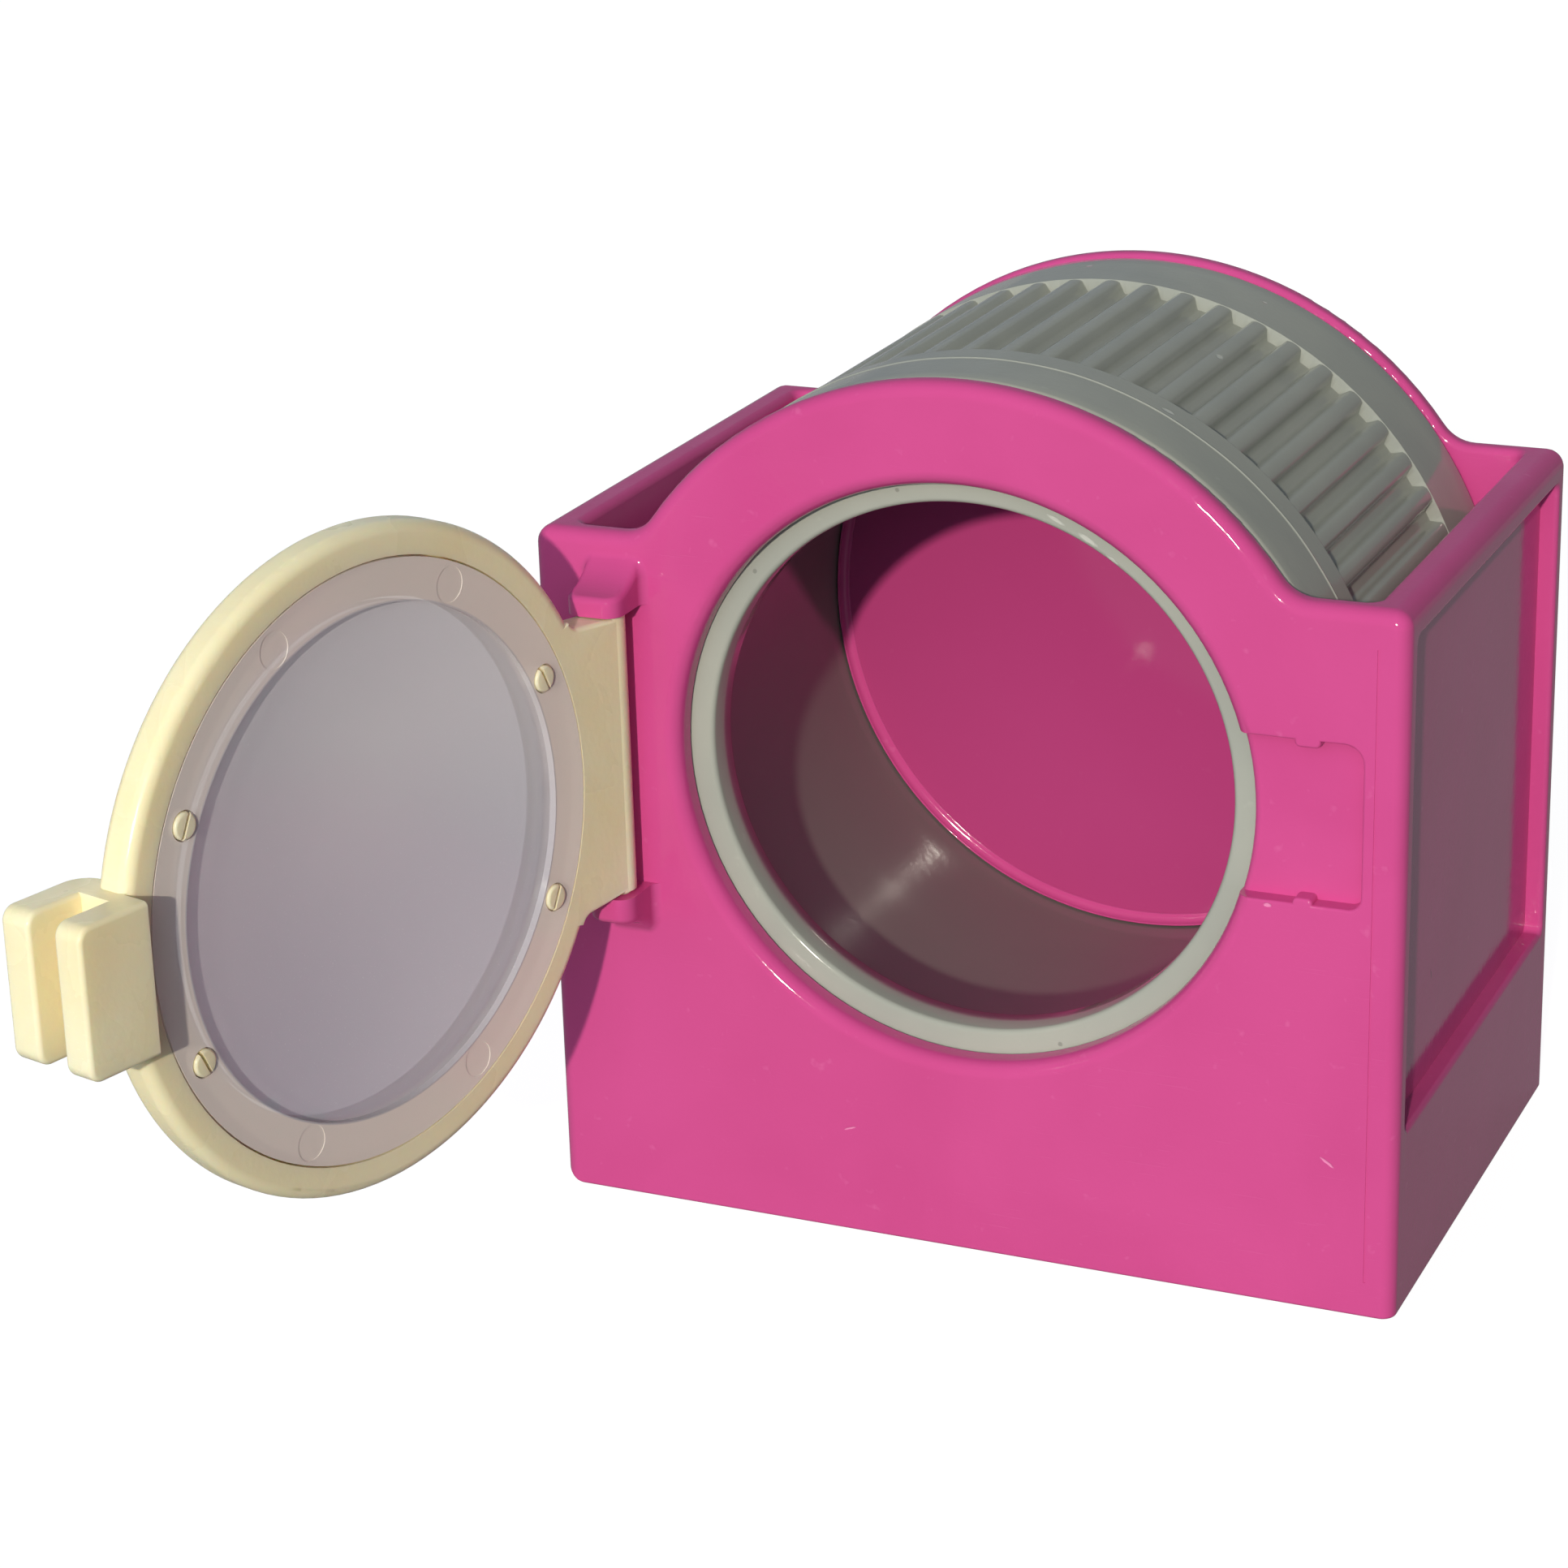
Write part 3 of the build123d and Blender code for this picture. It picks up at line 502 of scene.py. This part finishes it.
def drum_surface(material):
    """The drum: its section carried round the axis, with ribs.

    A rib is low crowned; its flank falls by a smooth step to the floor of the groove, as
    a function of the distance from the middle of the rib round the drum. The moulding seam
    wanders a little, by a sum of three sines of the angle."""
    section, groove = drum_profile()
    turn = np.linspace(0, 2 * np.pi, RIBS * RIB_POINTS, endpoint=False)
    pitch = 2 * np.pi * DRUM_R / RIBS
    off = np.abs((turn * RIBS / (2 * np.pi) + 0.5) % 1 - 0.5) * pitch
    share = np.clip((off - RIB_TOP) / (RIB_FOOT - RIB_TOP), 0, 1)
    crown = RIB_CROWN * np.minimum(off / RIB_TOP, 1) ** 2
    fall = RIB_SINK + crown + (RIB_DEPTH - RIB_SINK - RIB_CROWN) * share ** 2 * (3 - 2 * share)
    radius = section[:, 1][:, None] - groove[:, None] * fall[None, :]
    near_seam = np.clip(1 - np.abs(section[:, :1] - SEAM_Y) / (1.5 * SEAM_W), 0, 1)
    wander = sum(size * MM * np.sin(waves * turn + start) for waves, size, start in SEAM_WAVES)
    points = round_axis(section, turn, radius, near_seam * wander)
    return surface("ribbed_drum", points, material)


def hub_rim(material):
    """Hollow edge of the hub: a quarter of a hollow arc carried round the axis.

    The arc is stretched from the edge's height to its width across the hub."""
    top, inner, outer = HUB_Y - RIM_H, HUB_R - RIM_W, HUB_R + RIM_LAP
    foot = HUB_Y + RIM_LAP
    hollow = arc((top, inner), RIM_H, 0, 90, 8)
    hollow[:, 1] = inner + (hollow[:, 1] - inner) * RIM_W / RIM_H
    section = np.concatenate([hollow, [(top, HUB_R + RIM_CREST), (top + 0.1 * RIM_H, outer),
                                       (foot, outer), (foot, inner)]])
    turn = np.linspace(0, 2 * np.pi, RIM_POINTS, endpoint=False)
    radius = np.broadcast_to(section[:, 1:], (len(section), len(turn)))
    return surface("hub_rim", round_axis(section, turn, radius), material)


def welded(node, material):
    """A CAD node kept as it is, with its triangles joined, smooth but for its real creases."""
    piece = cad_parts[node]
    piece.data.materials.clear()
    piece.data.materials.append(material)
    piece.data.polygons.foreach_set("use_smooth", np.ones(len(piece.data.polygons), bool))
    weld = piece.modifiers.new("weld", "WELD")
    weld.merge_threshold = WELD_GAP
    split = piece.modifiers.new("creases", "EDGE_SPLIT")
    split.split_angle = math.radians(CREASE)
    normals = piece.modifiers.new("flat faces stay flat", "WEIGHTED_NORMAL")
    normals.keep_sharp = True
    return piece


# ------------------------------------------------------------ studio
def toward(azimuth, elevation):
    """Direction from the object to a place, azimuth from the front toward +X."""
    a, e = math.radians(azimuth), math.radians(elevation)
    return Vector((math.cos(e) * math.sin(a), -math.cos(e) * math.cos(a), math.sin(e)))


def seen_rays(tree):
    """1 for rays that look at the studio, less for its reflection in gloss, and 0 for its light."""
    path = put(tree, "LightPath")
    mirrored = maths(tree, "MULTIPLY", path.outputs["Is Glossy Ray"], MIRRORED)
    seen = maths(tree, "MAXIMUM", path.outputs["Is Camera Ray"], mirrored)
    return maths(tree, "MAXIMUM", seen, path.outputs["Is Transmission Ray"])


def studio_floor():
    """Pale floor: soft shadow kept, the rest as bright as the backdrop to the camera."""
    mesh = bpy.data.meshes.new("studio_floor")
    corners = [(-1, -1), (1, -1), (1, 1), (-1, 1)]
    mesh.from_pydata([(x * FLOOR_HALF, y * FLOOR_HALF, 0) for x, y in corners],
                     [], [(0, 1, 2, 3)])
    floor = bpy.data.objects.new("studio_floor", mesh)
    bpy.context.scene.collection.objects.link(floor)
    material, tree, shader = new_material("pale_floor")
    shader.inputs["Base Color"].default_value = (FLOOR_SHADE, FLOOR_SHADE, FLOOR_SHADE, 1)
    shader.inputs["Roughness"].default_value = 1.0
    shader.inputs["Specular IOR Level"].default_value = 0.0
    shader.inputs["Emission Color"].default_value = WHITE
    lift = maths(tree, "MULTIPLY", seen_rays(tree), FLOOR_LIFT)
    tree.links.new(lift, shader.inputs["Emission Strength"])
    mesh.materials.append(material)


def studio_world():
    """White backdrop; its light is soft, with a broad lobe from the front and one from the back.

    A lobe is the cosine of the angle from its middle, raised to its sharpness. Gloss doesn't
    mirror the lobes."""
    world = bpy.data.worlds.new("studio")
    bpy.context.scene.world = world
    world.use_nodes = True
    tree = world.node_tree
    background = tree.nodes["Background"]
    way = put(tree, "TexCoord").outputs["Generated"]
    light = ROOM_LIGHT
    for azimuth, elevation, sharpness, level in SOFT_LIGHTS:
        side = put(tree, "VectorMath", {0: way, 1: toward(azimuth, elevation)},
                   operation="DOT_PRODUCT")
        facing = maths(tree, "MAXIMUM", side.outputs["Value"], 0.0)
        lobe = maths(tree, "MULTIPLY", maths(tree, "POWER", facing, sharpness), level)
        light = maths(tree, "ADD", lobe, light)
    path = put(tree, "LightPath")
    dull = maths(tree, "SUBTRACT", 1.0, path.outputs["Is Glossy Ray"])
    light = maths(tree, "MULTIPLY", light, dull)
    seen = seen_rays(tree)
    tint = blend(tree, seen, SKY_TINT, WHITE)
    strength = put(tree, "Mix", {0: seen, 2: light, 3: 1.0}, data_type="FLOAT")
    tree.links.new(tint, background.inputs["Color"])
    tree.links.new(strength.outputs[0], background.inputs["Strength"])


def key_lamp():
    """The lamp that draws the shadows."""
    lamp = bpy.data.lights.new("key", "SUN")
    lamp.energy = KEY_LIGHT
    lamp.angle = math.radians(KEY_ANGLE)
    lamp.color = KEY_COLOUR
    holder = bpy.data.objects.new("key", lamp)
    holder.rotation_euler = toward(KEY_AZIMUTH, KEY_ELEVATION).to_track_quat("Z", "Y").to_euler()
    bpy.context.scene.collection.objects.link(holder)


def camera():
    """The camera at its place, turned by its azimuth, elevation and roll."""
    view = bpy.data.cameras.new("camera")
    view.sensor_width = CAMERA_SENSOR
    view.lens = CAMERA_LENS
    view.clip_start = CAMERA_NEAR
    view.clip_end = CAMERA_FAR
    holder = bpy.data.objects.new("camera", view)
    holder.matrix_world = (Matrix.Translation(CAMERA_AT)
                           @ Matrix.Rotation(math.radians(CAMERA_AZIMUTH), 4, "Z")
                           @ Matrix.Rotation(math.radians(90 - CAMERA_ELEVATION), 4, "X")
                           @ Matrix.Rotation(math.radians(CAMERA_ROLL), 4, "Z"))
    bpy.context.scene.collection.objects.link(holder)
    bpy.context.scene.camera = holder


# ------------------------------------------------------------ the object
pink = pink_plastic()
grey = grey_plastic()
cream = cream_plastic()
smoke = smoky_window()

welded("housing", pink)
welded("door_frame", cream)
welded("door_window", smoke)

rim = hub_rim(pink)
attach(rim, "housing")

drum = drum_surface(grey)
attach(drum, "drum")
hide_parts("drum")

studio_floor()
studio_world()
key_lamp()
camera()
bpy.context.scene.view_settings.view_transform = "Standard"
